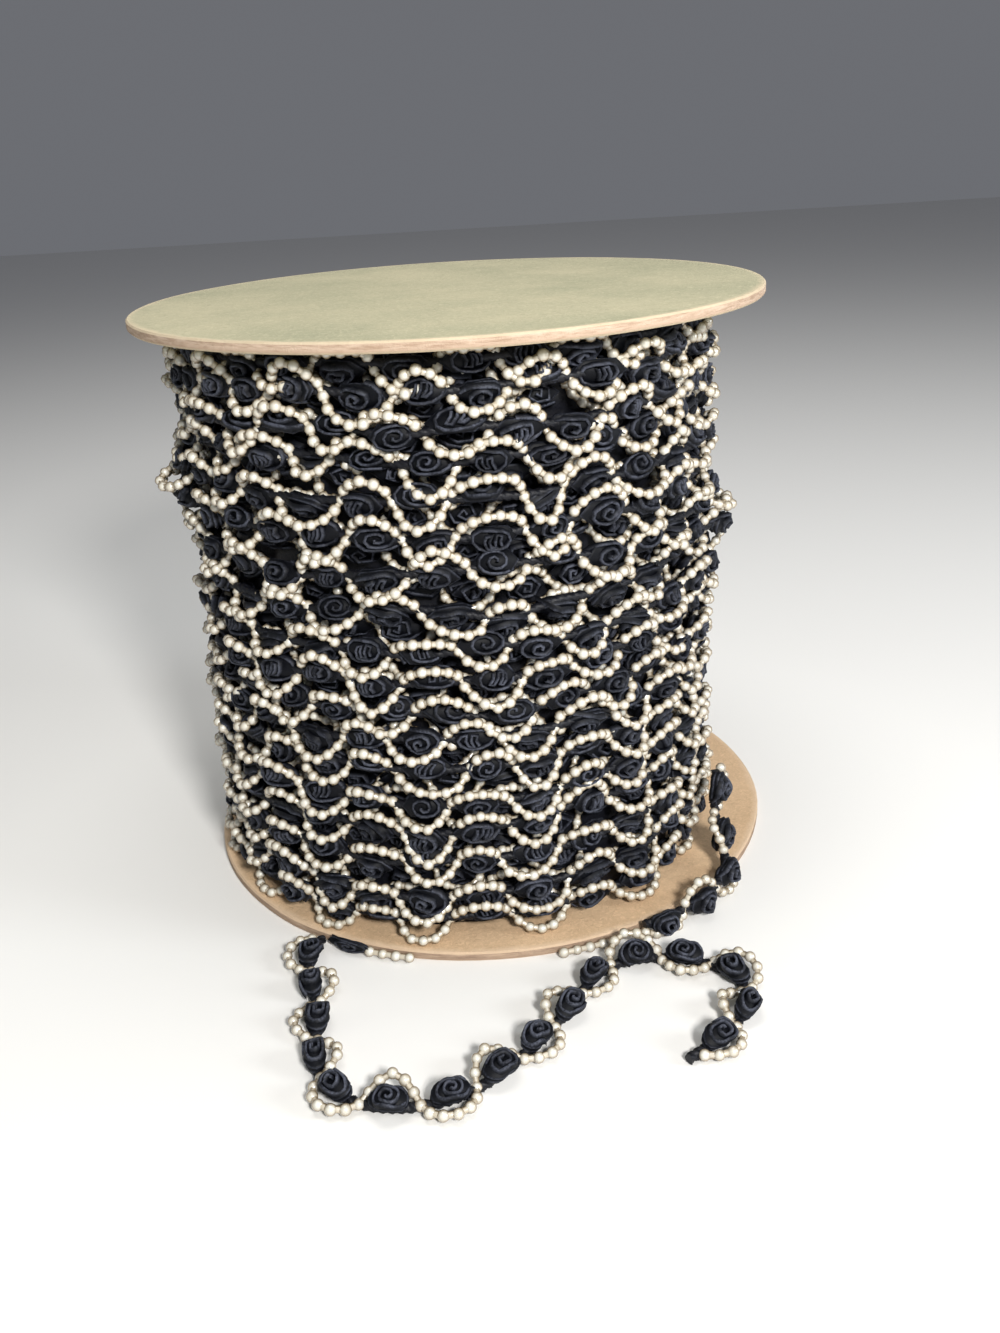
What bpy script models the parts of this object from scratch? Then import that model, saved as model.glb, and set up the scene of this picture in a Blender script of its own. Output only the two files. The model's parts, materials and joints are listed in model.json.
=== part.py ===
"""Beaded rosette trim, wound on a card spool, with its loose end lying in front.

World frame: metres, +Z up, origin at the middle of the lower flange's underside, front at -Y.
Azimuths are in degrees, 0 at the front and positive towards +X.
"""

import math
from collections import namedtuple

import bmesh
import bpy
from mathutils import Matrix, Vector, noise

MM = 0.001

# The card spool
FLANGE_RADIUS = 95 * MM
CARD_THICKNESS = 3 * MM
SPOOL_HEIGHT = 178 * MM
TOP_FLANGE_SHIFT = Vector((-3.2 * MM, -0.6 * MM, 0))
CARD_EDGE_ROUND = 0.5 * MM
CARD_UNEVEN = 0.4 * MM
CARD_UNEVEN_SIZE = 30 * MM
FLANGE_SIDES = 96
GAP = 0.3 * MM

# The wound trim, an uneven and slightly off-centre winding
WOUND_RADIUS_FOOT = 84.1 * MM
WOUND_RADIUS_TOP = 82.1 * MM
WOUND_MIDDLE_FOOT = Vector((-8.1 * MM, -6.5 * MM, 0))
WOUND_MIDDLE_TOP = Vector((-4.4 * MM, -3.5 * MM, 0))
GROOVE_DEPTH = 4.2 * MM
END_DEPTH = 3.4 * MM
ROSETTE_LIFT = 1.5 * MM
ROSETTES_PER_TURN = 32
COLUMNS = 3 * ROSETTES_PER_TURN
CROWN_HALF = 2.3 * MM
LUMP_HEIGHT = 1.6 * MM
LUMP_SIZE = 34 * MM
SWAY = 1.3 * MM
SWAY_SIZE = 55 * MM
LEVEL_ENDS = 1 / 16  # share of the height over which lumps die away at each card

# The outer turns from the foot up: height in front, azimuth of a rosette near the front,
# and how far the turn stands proud of the mean winding
Turn = namedtuple("Turn", "height_mm rosette_deg proud_mm")
TURNS = [
    Turn(9.5, 3.5, 0.0),
    Turn(18.5, 3.0, 0.4),
    Turn(29.0, 3.0, 0.2),
    Turn(39.0, 3.0, 0.0),
    Turn(48.5, 3.0, 0.4),
    Turn(58.5, 4.0, 0.0),
    Turn(67.5, 3.0, 0.3),
    Turn(75.5, -2.0, -0.2),
    Turn(85.5, -5.0, 0.2),
    Turn(94.5, -6.5, 0.5),
    Turn(104.5, -3.0, -0.4),
    Turn(115.5, -3.0, 0.6),
    Turn(126.0, 8.0, -0.2),
    Turn(136.0, 6.0, 0.5),
    Turn(146.0, 8.0, -0.6),
    Turn(154.0, 14.0, 0.7),
    Turn(163.5, -4.5, 0.3),
    Turn(171.0, 4.0, -1.2),
]

# Stretches that have slipped and stand out of the winding
Slip = namedtuple("Slip", "azimuth_deg height_mm lift_mm wide_mm high_mm")
SLIPS = [
    Slip(-84, 130, 5.0, 11, 7),
    Slip(84, 110, 4.5, 11, 7),
    Slip(-80, 163, 3.0, 12, 6),
    Slip(38, 12, 2.5, 26, 12),
]

# The loose trim: a round braid with a rosette bud sewn to it at every pitch
BRAID_RADIUS = 1.5 * MM
BRAID_STEP = 6.5 * MM
BUD_RADIUS = 4.8 * MM
BUD_HEIGHT = 6.0 * MM
BUD_BACK = 1.15 * MM
BUD_SIDES = 12
BUD_PITCH = 15 * MM
CHANNEL_GAP = 0.35 * MM
HANGING_FIRST_BUD = 5.5 * MM
HANGING_LAST_GAP = 5.5 * MM
LYING_FIRST_BUD = 9 * MM
LYING_LAST_GAP = 5 * MM

# The braid's height where it lies on the floor
LAID = 1.55

# From the winding down over the lower rim and along its foot: azimuth, distance from
# the spool's axis, height, and how far the rosettes' faces tip outwards from straight up
Hang = namedtuple("Hang", "azimuth_deg out_mm height_mm tip_deg")
HANGING_ROUTE = [
    Hang(57.6, 85.8, 31.0, 90),
    Hang(57.2, 86.0, 27.5, 90),
    Hang(56.4, 86.4, 23.0, 90),
    Hang(55.4, 87.2, 18.2, 88),
    Hang(54.2, 88.8, 14.2, 86),
    Hang(52.4, 91.4, 11.2, 84),
    Hang(50.0, 94.8, 9.2, 82),
    Hang(47.0, 97.8, 7.4, 80),
    Hang(43.2, 99.3, 6.0, 80),
    Hang(38.6, 99.8, 5.2, 80),
    Hang(34.0, 99.9, 4.9, 80),
    Hang(30.4, 99.7, 4.8, 80),
    Hang(25.8, 98.9, 4.7, 80),
]

# Out from under the rim at the left, round a bight in front and up to the arch at the
# right, lying flat all the way: places on the floor
Lay = namedtuple("Lay", "x_mm y_mm")
LOOSE_ROUTE = [
    Lay(-53.2, -80.6),
    Lay(-55.4, -84.6),
    Lay(-56.3, -90.0),
    Lay(-55.6, -96.5),
    Lay(-54.0, -103.5),
    Lay(-52.2, -110.5),
    Lay(-51.2, -118.0),
    Lay(-51.0, -126.0),
    Lay(-50.0, -134.5),
    Lay(-46.5, -142.5),
    Lay(-40.0, -148.8),
    Lay(-31.5, -152.0),
    Lay(-22.0, -152.6),
    Lay(-12.5, -150.3),
    Lay(-4.0, -145.2),
    Lay(3.5, -138.0),
    Lay(10.5, -129.8),
    Lay(17.4, -121.2),
    Lay(22.0, -113.6),
    Lay(27.0, -106.6),
    Lay(33.6, -102.2),
    Lay(41.0, -100.6),
    Lay(48.0, -100.9),
    Lay(55.2, -103.2),
    Lay(61.8, -107.2),
    Lay(66.0, -113.0),
    Lay(66.6, -120.2),
    Lay(63.6, -127.4),
    Lay(58.4, -133.6),
    Lay(52.4, -138.6),
    Lay(46.4, -142.8),
]

COLOURS = {
    "card": ((0.56, 0.44, 0.29, 1), 0.85),
    "satin": ((0.012, 0.013, 0.02, 1), 0.4),
    "braid": ((0.02, 0.02, 0.026, 1), 0.55),
}


def clear_scene():
    for thing in list(bpy.data.objects):
        bpy.data.objects.remove(thing, do_unlink=True)


def material(name):
    colour, roughness = COLOURS[name]
    made = bpy.data.materials.new(name)
    made.use_nodes = True
    shader = made.node_tree.nodes["Principled BSDF"]
    shader.inputs["Base Color"].default_value = colour
    shader.inputs["Roughness"].default_value = roughness
    shader.inputs["Metallic"].default_value = 0.0
    return made


def collection(name):
    made = bpy.data.collections.new(name)
    bpy.context.scene.collection.children.link(made)
    return made


def add_object(name, data, group, finish=None):
    made = bpy.data.objects.new(name, data)
    group.objects.link(made)
    if finish:
        data.materials.append(finish)
    return made


def evaluated_mesh(thing):
    graph = bpy.context.evaluated_depsgraph_get()
    return bpy.data.meshes.new_from_object(thing.evaluated_get(graph))


def turned(profile, steps):
    """A closed turned mesh from (radius, height) pairs that run from the top of the axis to its foot."""
    mesh = bpy.data.meshes.new("profile")
    outline = bmesh.new()
    points = [outline.verts.new((radius, 0, height)) for radius, height in profile]
    for upper, lower in zip(points, points[1:]):
        outline.edges.new((upper, lower))
    outline.to_mesh(mesh)
    outline.free()
    lathe = bpy.data.objects.new("lathe", mesh)
    bpy.context.scene.collection.objects.link(lathe)
    screw = lathe.modifiers.new("turn", "SCREW")
    screw.steps = steps
    screw.render_steps = steps
    screw.use_merge_vertices = True
    screw.merge_threshold = 0.00001
    made = evaluated_mesh(lathe)
    bpy.data.objects.remove(lathe)
    return made


def from_front(azimuth_deg):
    """The outward direction at an azimuth."""
    angle = math.radians(azimuth_deg)
    return Vector((math.sin(angle), -math.cos(angle), 0))


def flange(name, underside, shift, group, finish):
    """A round of grey card with slightly uneven cut edge."""
    mesh = bpy.data.meshes.new(name)
    card = bmesh.new()
    bmesh.ops.create_cone(
        card,
        cap_ends=True,
        segments=FLANGE_SIDES,
        radius1=FLANGE_RADIUS,
        radius2=FLANGE_RADIUS,
        depth=CARD_THICKNESS,
    )
    for point in card.verts:
        flat = Vector((point.co.x, point.co.y, 0))
        uneven = CARD_UNEVEN * noise.noise(flat / CARD_UNEVEN_SIZE + shift / MM)
        point.co += flat.normalized() * uneven
    card.to_mesh(mesh)
    card.free()
    made = add_object(name, mesh, group, finish)
    made.location = shift + Vector((0, 0, underside + CARD_THICKNESS / 2))
    rounded = made.modifiers.new("worn edge", "BEVEL")
    rounded.width = CARD_EDGE_ROUND
    rounded.segments = 1
    rounded.limit_method = "ANGLE"
    return made


def wound_middle(height):
    return WOUND_MIDDLE_FOOT.lerp(WOUND_MIDDLE_TOP, height / SPOOL_HEIGHT)


def wound_radius(height):
    share = height / SPOOL_HEIGHT
    return WOUND_RADIUS_FOOT + (WOUND_RADIUS_TOP - WOUND_RADIUS_FOOT) * share


def slip_lift(azimuth_deg, height):
    lift = 0.0
    for slip in SLIPS:
        along = math.radians(azimuth_deg - slip.azimuth_deg) * WOUND_RADIUS_FOOT
        above = height - slip.height_mm * MM
        spread = (along / (slip.wide_mm * MM)) ** 2 + (above / (slip.high_mm * MM)) ** 2
        lift += slip.lift_mm * MM * math.exp(-spread)
    return lift


def winding_profile():
    """Flat-crowned ridges on the turns, grooves between them, and flat ends against the card."""
    foot = CARD_THICKNESS + GAP
    head = SPOOL_HEIGHT - CARD_THICKNESS - GAP
    heights = [turn.height_mm * MM for turn in TURNS]
    rows = [(wound_radius(foot) - END_DEPTH, foot)]
    for number, height in enumerate(heights):
        for crown in (height - CROWN_HALF, height + CROWN_HALF):
            rows.append((wound_radius(crown), crown))
        if number + 1 < len(heights):
            middle = (height + heights[number + 1]) / 2
            rows.append((wound_radius(middle) - GROOVE_DEPTH, middle))
    rows.append((wound_radius(head) - END_DEPTH, head))
    return [(0, head)] + rows[::-1] + [(0, foot)]


def nearest_turn(height):
    return min(TURNS, key=lambda turn: abs(turn.height_mm * MM - height))


def wound_trim(group, finish):
    """The winding, one solid: turns as ridges, rosettes as bumps along them."""
    mesh = turned(winding_profile(), COLUMNS)
    foot = CARD_THICKNESS + GAP
    head = SPOOL_HEIGHT - CARD_THICKNESS - GAP
    for point in mesh.vertices:
        height = point.co.z
        flat = Vector((point.co.x, point.co.y, 0))
        middle = wound_middle(height)
        if flat.length > GROOVE_DEPTH:
            azimuth = math.degrees(math.atan2(flat.x, -flat.y))
            inside = min(height - foot, head - height) / (head - foot) / LEVEL_ENDS
            inside = max(0.0, min(1.0, inside))
            relief = 1 - (wound_radius(height) - flat.length) / GROOVE_DEPTH
            relief = max(0.0, relief) * (1 if inside > 0 else 0)
            turn = nearest_turn(height)
            phase = (azimuth - turn.rosette_deg) / 360 * ROSETTES_PER_TURN
            swell = ROSETTE_LIFT * math.cos(2 * math.pi * phase) + turn.proud_mm * MM
            lump = LUMP_HEIGHT * noise.noise(point.co / LUMP_SIZE)
            flat += flat.normalized() * (
                relief * swell + lump + inside * slip_lift(azimuth, height)
            )
            sway = noise.noise(Vector((flat.x, flat.y, 0.2)) / SWAY_SIZE)
            height += SWAY * sway * inside
        point.co = flat + middle
        point.co.z = height
    mesh.shade_smooth()
    mesh.set_sharp_from_angle(angle=math.radians(60))
    return add_object("wound_trim", mesh, group, finish)


def smooth_line(points, steps_each=12):
    """Catmull-Rom points through the route's own points."""
    ends = [points[0] * 2 - points[1]] + points + [points[-1] * 2 - points[-2]]
    line = []
    for a, b, c, d in zip(ends, ends[1:], ends[2:], ends[3:]):
        for step in range(steps_each):
            t = step / steps_each
            line.append(
                (
                    2 * b
                    + (c - a) * t
                    + (2 * a - 5 * b + 4 * c - d) * t**2
                    + (3 * b - a - 3 * c + d) * t**3
                )
                / 2
            )
    return line + [points[-1]]


def distances(line):
    along = [0.0]
    for a, b in zip(line, line[1:]):
        along.append(along[-1] + (b - a).length)
    return along


def at_distance(line, along, distance):
    """The place and the direction of a line at a distance from its start."""
    for number in range(len(line) - 1):
        if along[number + 1] >= distance or number == len(line) - 2:
            span = along[number + 1] - along[number]
            share = (distance - along[number]) / span
            a, b = line[number], line[number + 1]
            return a.lerp(b, share), (b - a).normalized()


def tube(name, line, radius, group, finish=None):
    """A round tube along a line, with filled ends."""
    along = distances(line)
    count = max(2, round(along[-1] / BRAID_STEP))
    curve = bpy.data.curves.new(name, "CURVE")
    curve.dimensions = "3D"
    curve.bevel_depth = radius
    curve.bevel_resolution = 2
    curve.use_fill_caps = True
    spline = curve.splines.new("POLY")
    spline.points.add(count)
    for number, point in enumerate(spline.points):
        place = at_distance(line, along, along[-1] * number / count)[0]
        point.co = (*place, 1)
    return add_object(name, curve, group, finish)


def tube_cutter(braid, line, group):
    """A slightly fatter copy of a braid, as a mesh that the buds are cut with."""
    fat = tube(braid.name + "_channel_path", line, BRAID_RADIUS + CHANNEL_GAP, group)
    mesh = evaluated_mesh(fat)
    bpy.data.objects.remove(fat)
    merged = bmesh.new()
    merged.from_mesh(mesh)
    bmesh.ops.remove_doubles(merged, verts=merged.verts, dist=0.00001)
    bmesh.ops.recalc_face_normals(merged, faces=merged.faces)
    merged.to_mesh(mesh)
    merged.free()
    cutter = add_object(braid.name + "_channel", mesh, group)
    cutter.hide_render = True
    cutter.display_type = "WIRE"
    return cutter


def bud_mesh():
    """A rosette's outer shape: a low bud, widest below its middle."""
    profile = [
        (0, BUD_HEIGHT),
        (BUD_RADIUS * 0.55, BUD_HEIGHT * 0.96),
        (BUD_RADIUS, BUD_HEIGHT * 0.5),
        (BUD_RADIUS * 0.86, 0),
        (0, 0),
    ]
    mesh = turned(profile, BUD_SIDES)
    mesh.shade_smooth()
    mesh.set_sharp_from_angle(angle=math.radians(50))
    return mesh


def sew_buds(name, line, face_of, first, last_gap, cutter, group, finish):
    """Buds at every pitch along a braid, each with a channel that clears it."""
    along = distances(line)
    count = int((along[-1] - first - last_gap) / BUD_PITCH) + 1
    for number in range(count):
        distance = first + number * BUD_PITCH
        place, forward = at_distance(line, along, distance)
        face = face_of(place)
        side = face.cross(forward).normalized()
        forward = side.cross(face).normalized()
        bud = add_object(f"{name}_{number + 1:02d}", bud_mesh(), group, finish)
        turn = Matrix((forward, side, face)).transposed().to_4x4()
        bud.matrix_world = Matrix.Translation(place - face * BUD_BACK) @ turn
        channel = bud.modifiers.new("channel", "BOOLEAN")
        channel.operation = "DIFFERENCE"
        channel.solver = "EXACT"
        channel.object = cutter


def hanging_points():
    return [
        from_front(row.azimuth_deg) * row.out_mm * MM + Vector((0, 0, row.height_mm * MM))
        for row in HANGING_ROUTE
    ]


def hanging_face(place):
    """The way a rosette faces on the hanging stretch: outwards, tipped as the route says."""
    outward = Vector((place.x, place.y, 0)).normalized()
    points = hanging_points()
    row = min(range(len(points)), key=lambda number: (points[number] - place).length)
    tip = math.radians(HANGING_ROUTE[row].tip_deg)
    return outward * math.sin(tip) + Vector((0, 0, math.cos(tip)))


def loose_trim(group, cutters, satin, braid_finish):
    hanging = smooth_line(hanging_points())
    lying = smooth_line(
        [Vector((row.x_mm * MM, row.y_mm * MM, LAID * MM)) for row in LOOSE_ROUTE]
    )
    stretches = [
        ("hanging", hanging, hanging_face, HANGING_FIRST_BUD, HANGING_LAST_GAP),
        ("lying", lying, lambda place: Vector((0, 0, 1)), LYING_FIRST_BUD, LYING_LAST_GAP),
    ]
    for word, line, face_of, first, last_gap in stretches:
        braid = tube(f"{word}_braid", line, BRAID_RADIUS, group, braid_finish)
        cutter = tube_cutter(braid, line, cutters)
        name = f"{word}_rosette"
        sew_buds(name, line, face_of, first, last_gap, cutter, group, satin)


def main():
    clear_scene()
    trim = collection("beaded_rosette_trim")
    cutters = collection("cutters")
    card = material("card")
    satin = material("satin")
    braid = material("braid")
    flange("flange_bottom", 0, Vector((0, 0, 0)), trim, card)
    top = SPOOL_HEIGHT - CARD_THICKNESS
    flange("flange_top", top, TOP_FLANGE_SHIFT, trim, card)
    wound_trim(trim, satin)
    loose_trim(trim, cutters, satin, braid)


main()
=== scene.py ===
import json
import math

import bpy
import numpy as np
from mathutils import Matrix, Vector, noise

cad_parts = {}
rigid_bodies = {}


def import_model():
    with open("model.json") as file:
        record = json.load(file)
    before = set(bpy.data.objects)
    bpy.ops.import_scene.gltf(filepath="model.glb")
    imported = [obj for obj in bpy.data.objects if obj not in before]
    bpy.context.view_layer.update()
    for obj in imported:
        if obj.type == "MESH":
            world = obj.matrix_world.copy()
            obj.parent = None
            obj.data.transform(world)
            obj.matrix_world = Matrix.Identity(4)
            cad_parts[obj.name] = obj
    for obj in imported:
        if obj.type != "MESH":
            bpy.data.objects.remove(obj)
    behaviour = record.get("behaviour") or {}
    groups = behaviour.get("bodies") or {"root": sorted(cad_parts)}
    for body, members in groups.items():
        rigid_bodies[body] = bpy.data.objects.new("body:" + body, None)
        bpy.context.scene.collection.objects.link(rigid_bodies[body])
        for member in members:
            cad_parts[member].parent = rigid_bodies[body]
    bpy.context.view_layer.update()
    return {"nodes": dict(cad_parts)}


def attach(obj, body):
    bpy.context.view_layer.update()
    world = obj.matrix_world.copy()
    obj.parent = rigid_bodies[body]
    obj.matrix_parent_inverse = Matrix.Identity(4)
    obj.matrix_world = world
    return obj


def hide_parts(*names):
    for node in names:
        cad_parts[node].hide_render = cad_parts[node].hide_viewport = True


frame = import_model()
nodes = frame["nodes"]
mm = 0.001

# camera, floor and light

view = {
    "place": (0.0, -0.3845, 0.2205),
    "pitch": 23.667,  # degrees below the horizon
    "yaw": 0.939,
    "roll": -3.326,
    "lens": 32.69,
    "sensor": 36,
    "near": 0.01,
}


def makeCamera():
    pitch, yaw, roll = (math.radians(view[word]) for word in ("pitch", "yaw", "roll"))
    ahead = Vector(
        (math.sin(yaw) * math.cos(pitch), math.cos(yaw) * math.cos(pitch), -math.sin(pitch))
    )
    right = ahead.cross(Vector((0, 0, 1))).normalized()
    up = right.cross(ahead)
    across = right * math.cos(roll) + up * math.sin(roll)
    upward = up * math.cos(roll) - right * math.sin(roll)
    data = bpy.data.cameras.new("camera")
    data.lens = view["lens"]
    data.sensor_width = view["sensor"]
    data.clip_start = view["near"]
    made = bpy.data.objects.new("camera", data)
    bpy.context.scene.collection.objects.link(made)
    turn = Matrix((across, upward, -ahead)).transposed().to_4x4()
    made.matrix_world = Matrix.Translation(view["place"]) @ turn
    bpy.context.scene.camera = made


studio = {
    "sky": (0.88, 0.91, 1.0),
    "skyStrength": 0.17,
    "floor": (0.8, 0.79, 0.77),
    "floorRoughness": 0.9,
    "floorReach": 3.0,
    "aim": (0, 0, 0.08),  # where every lamp points
    "lamps": [  # name, place, size, watts, colour
        ("key", (0.2, -0.7, 0.5), 0.13, 7.5, (1.0, 0.985, 0.96)),
        ("right", (0.95, -0.35, 0.45), 0.35, 4.6, (0.92, 0.97, 1.0)),
        ("left", (-0.9, -0.3, 0.35), 0.5, 0.8, (0.9, 1.0, 0.86)),
        ("above", (-0.05, 0.15, 1.1), 0.7, 5.0, (1.0, 0.99, 0.96)),
    ],
}


def makeStudio():
    world = bpy.data.worlds.new("studio")
    world.use_nodes = True
    world.node_tree.nodes["Background"].inputs["Color"].default_value = (*studio["sky"], 1)
    world.node_tree.nodes["Background"].inputs["Strength"].default_value = studio["skyStrength"]
    bpy.context.scene.world = world
    bpy.context.scene.view_settings.view_transform = "Standard"
    for name, place, size, watts, colour in studio["lamps"]:
        data = bpy.data.lights.new(name, "AREA")
        data.shape = "DISK"
        data.size = size
        data.energy = watts
        data.color = colour
        lamp = bpy.data.objects.new(name, data)
        bpy.context.scene.collection.objects.link(lamp)
        toward = Vector(studio["aim"]) - Vector(place)
        lamp.location = place
        lamp.rotation_euler = toward.to_track_quat("-Z", "Y").to_euler()
    mesh = bpy.data.meshes.new("floor")
    reach = studio["floorReach"]
    mesh.from_pydata(
        [(-reach, -reach, 0), (reach, -reach, 0), (reach, reach, 0), (-reach, reach, 0)],
        [],
        [(0, 1, 2, 3)],
    )
    floor = bpy.data.objects.new("floor", mesh)
    bpy.context.scene.collection.objects.link(floor)
    paint = bpy.data.materials.new("floor")
    paint.use_nodes = True
    shader = paint.node_tree.nodes["Principled BSDF"]
    shader.inputs["Base Color"].default_value = (*studio["floor"], 1)
    shader.inputs["Roughness"].default_value = studio["floorRoughness"]
    mesh.materials.append(paint)


# small helpers for node trees


def addNode(tree, kind, inputs=None, **settings):
    made = tree.nodes.new(kind)
    for word, value in settings.items():
        setattr(made, word, value)
    for key, value in (inputs or {}).items():
        if isinstance(value, bpy.types.NodeSocket):
            tree.links.new(value, made.inputs[key])
        else:
            made.inputs[key].default_value = value
    return made


def maths(tree, operation, *values, **settings):
    made = addNode(
        tree, "ShaderNodeMath", dict(enumerate(values)), operation=operation, **settings
    )
    return made.outputs[0]


def ranged(tree, value, fromMin, fromMax, toMin=0.0, toMax=1.0):
    ends = {"From Min": fromMin, "From Max": fromMax, "To Min": toMin, "To Max": toMax}
    return addNode(tree, "ShaderNodeMapRange", {"Value": value, **ends}).outputs[0]


def noiseValue(tree, place, scale, detail=2.0, roughness=0.5, distortion=0.0):
    kind = {"Detail": detail, "Roughness": roughness, "Distortion": distortion}
    return addNode(
        tree, "ShaderNodeTexNoise", {"Vector": place, "Scale": scale, **kind}
    ).outputs[0]


def pointValue(tree, word):
    return addNode(tree, "ShaderNodeAttribute", attribute_name=word).outputs["Fac"]


def objectPlace(tree):
    return addNode(tree, "ShaderNodeTexCoord").outputs["Object"]


def newGeometryTree(name, sockets):
    tree = bpy.data.node_groups.new(name, "GeometryNodeTree")
    tree.interface.new_socket(name="Geometry", in_out="INPUT", socket_type="NodeSocketGeometry")
    for label, kind, value in sockets:
        socket = tree.interface.new_socket(name=label, in_out="INPUT", socket_type=kind)
        if value is not None:
            socket.default_value = value
    tree.interface.new_socket(name="Geometry", in_out="OUTPUT", socket_type="NodeSocketGeometry")
    return tree, tree.nodes.new("NodeGroupInput"), tree.nodes.new("NodeGroupOutput")


def withMaterial(tree, given, out, last):
    finish = {"Geometry": last.outputs[0], "Material": given.outputs["Material"]}
    done = addNode(tree, "GeometryNodeSetMaterial", finish)
    tree.links.new(done.outputs[0], out.inputs[0])
    return tree


def named(tree, word, kind):
    return addNode(tree, "GeometryNodeInputNamedAttribute", {"Name": word}, data_type=kind).outputs[0]


def stored(tree, geometry, word, value, domain):
    values = {"Geometry": geometry.outputs[0], "Name": word, "Value": value}
    kind = "GeometryNodeStoreNamedAttribute"
    return addNode(tree, kind, values, data_type="FLOAT", domain=domain).outputs[0]


def runTree(name, mesh, tree, values):
    host = bpy.data.objects.new(name, mesh)
    bpy.context.scene.collection.objects.link(host)
    modifier = host.modifiers.new("make", "NODES")
    modifier.node_group = tree
    for item in tree.interface.items_tree:
        if item.in_out == "INPUT" and item.name in values:
            modifier[item.identifier] = values[item.name]
    graph = bpy.context.evaluated_depsgraph_get()
    plain = bpy.data.meshes.new_from_object(host.evaluated_get(graph))
    host.modifiers.remove(modifier)
    host.data = plain
    plain.name = name
    return host


def pathMesh(name, points):
    mesh = bpy.data.meshes.new(name + "_path")
    mesh.from_pydata([tuple(p) for p in points], [(k, k + 1) for k in range(len(points) - 1)], [])
    return mesh


# materials


def groupTree(name, sockets, outputs):
    tree = bpy.data.node_groups.new(name, "ShaderNodeTree")
    for label, kind, value in sockets:
        tree.interface.new_socket(name=label, in_out="INPUT", socket_type=kind).default_value = value
    for label, kind in outputs:
        tree.interface.new_socket(name=label, in_out="OUTPUT", socket_type=kind)
    return tree, tree.nodes.new("NodeGroupInput"), tree.nodes.new("NodeGroupOutput")


def makeThreadGrain():
    # fine threads of a woven ribbon: a tone and a height that change over the surface
    tree, given, out = groupTree(
        "threadGrain",
        [("Scale", "NodeSocketFloat", 2500.0), ("Patches", "NodeSocketFloat", 330.0)],
        [("Tone", "NodeSocketFloat"), ("Height", "NodeSocketFloat")],
    )
    place = objectPlace(tree)
    threads = noiseValue(tree, place, given.outputs["Scale"], 2.0, 0.6)
    patches = noiseValue(tree, place, given.outputs["Patches"], 1.0)
    tree.links.new(maths(tree, "MULTIPLY", threads, patches), out.inputs["Tone"])
    tree.links.new(threads, out.inputs["Height"])
    return tree


def makeCardFibre():
    # pressed grey board: pale flecks, dark specks, broad stains, the plies at its cut, and a tooth
    labels = ("Fleck", "Speck", "Stain", "Plies", "Height")
    tree, given, out = groupTree(
        "cardFibre",
        [
            ("Fleck scale", "NodeSocketFloat", 800.0),
            ("Stain scale", "NodeSocketFloat", 20.0),
            ("Ply scale", "NodeSocketFloat", 9.0),
        ],
        [(label, "NodeSocketFloat") for label in labels],
    )
    place = objectPlace(tree)
    fibres = noiseValue(tree, place, given.outputs["Fleck scale"], 4.0, 0.65, 1.2)
    stain = noiseValue(tree, place, given.outputs["Stain scale"], 6.0, 0.62)
    thinner = addNode(
        tree, "ShaderNodeCombineXYZ", {0: 1.0, 1: 1.0, 2: given.outputs["Ply scale"]}
    ).outputs[0]
    drawn = addNode(
        tree, "ShaderNodeVectorMath", {0: place, 1: thinner}, operation="MULTIPLY"
    ).outputs[0]
    plies = noiseValue(tree, drawn, 130.0, 5.0, 0.7)
    values = (
        ranged(tree, fibres, 0.5, 0.72),
        ranged(tree, fibres, 0.44, 0.3),
        ranged(tree, stain, 0.34, 0.66),
        plies,
        maths(tree, "ADD", fibres, plies),
    )
    for label, value in zip(labels, values):
        tree.links.new(value, out.inputs[label])
    return tree


def newMaterial(name, roughness, plain=None):
    made = bpy.data.materials.new(name)
    made.use_nodes = True
    tree = made.node_tree
    shader = tree.nodes["Principled BSDF"]
    shader.inputs["Roughness"].default_value = roughness
    for label, value in (plain or {}).items():
        shader.inputs[label].default_value = value
    return made, tree, shader


def colourMix(tree, factor, first, second):
    mix = addNode(tree, "ShaderNodeMix", data_type="RGBA")
    tree.links.new(factor, mix.inputs[0])
    for slot, value in ((6, first), (7, second)):
        if isinstance(value, bpy.types.NodeSocket):
            tree.links.new(value, mix.inputs[slot])
        else:
            mix.inputs[slot].default_value = (*value, 1)
    return mix.outputs[2]


def addBump(tree, shader, height, distance, strength=1.0):
    bump = addNode(
        tree, "ShaderNodeBump", {"Height": height, "Distance": distance, "Strength": strength}
    )
    tree.links.new(bump.outputs[0], shader.inputs["Normal"])


satinLook = {
    "fold": (0.001, 0.0013, 0.0026),
    "foldLit": (0.0035, 0.0045, 0.0085),
    # painted highlight: the lighter colour of the ribbon's top edges, where the light would catch them
    "edge": (0.066, 0.072, 0.096),
    "edgePower": 2.4,
    "worn": (0.16, 0.33, 0.22, 1.15),  # thread tones from and to, and the strength of the painted edge highlight at them
    "roughness": 0.55,
    "specular": 0.16,
    "threads": 1800.0,
    "bump": (0.00008, 0.6),  # metres, and strength
}


def makeSatin(grain):
    made, tree, shader = newMaterial(
        "blackSatin", satinLook["roughness"], {"Specular IOR Level": satinLook["specular"]}
    )
    group = addNode(
        tree, "ShaderNodeGroup", {"Scale": satinLook["threads"]}, node_tree=grain
    )
    tone = group.outputs["Tone"]
    # painted highlight: the ribbon's top edges are mixed towards a lighter colour, broken up by the
    # threads
    sharp = maths(tree, "POWER", pointValue(tree, "edge"), satinLook["edgePower"])
    worn = ranged(tree, tone, *satinLook["worn"])
    sheen = maths(tree, "MULTIPLY", worn, pointValue(tree, "shade"))
    lit = maths(tree, "MULTIPLY", sharp, sheen)
    body = colourMix(tree, tone, satinLook["fold"], satinLook["foldLit"])
    tree.links.new(colourMix(tree, lit, body, satinLook["edge"]), shader.inputs["Base Color"])
    addBump(tree, shader, group.outputs["Height"], *satinLook["bump"])
    return made


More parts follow.
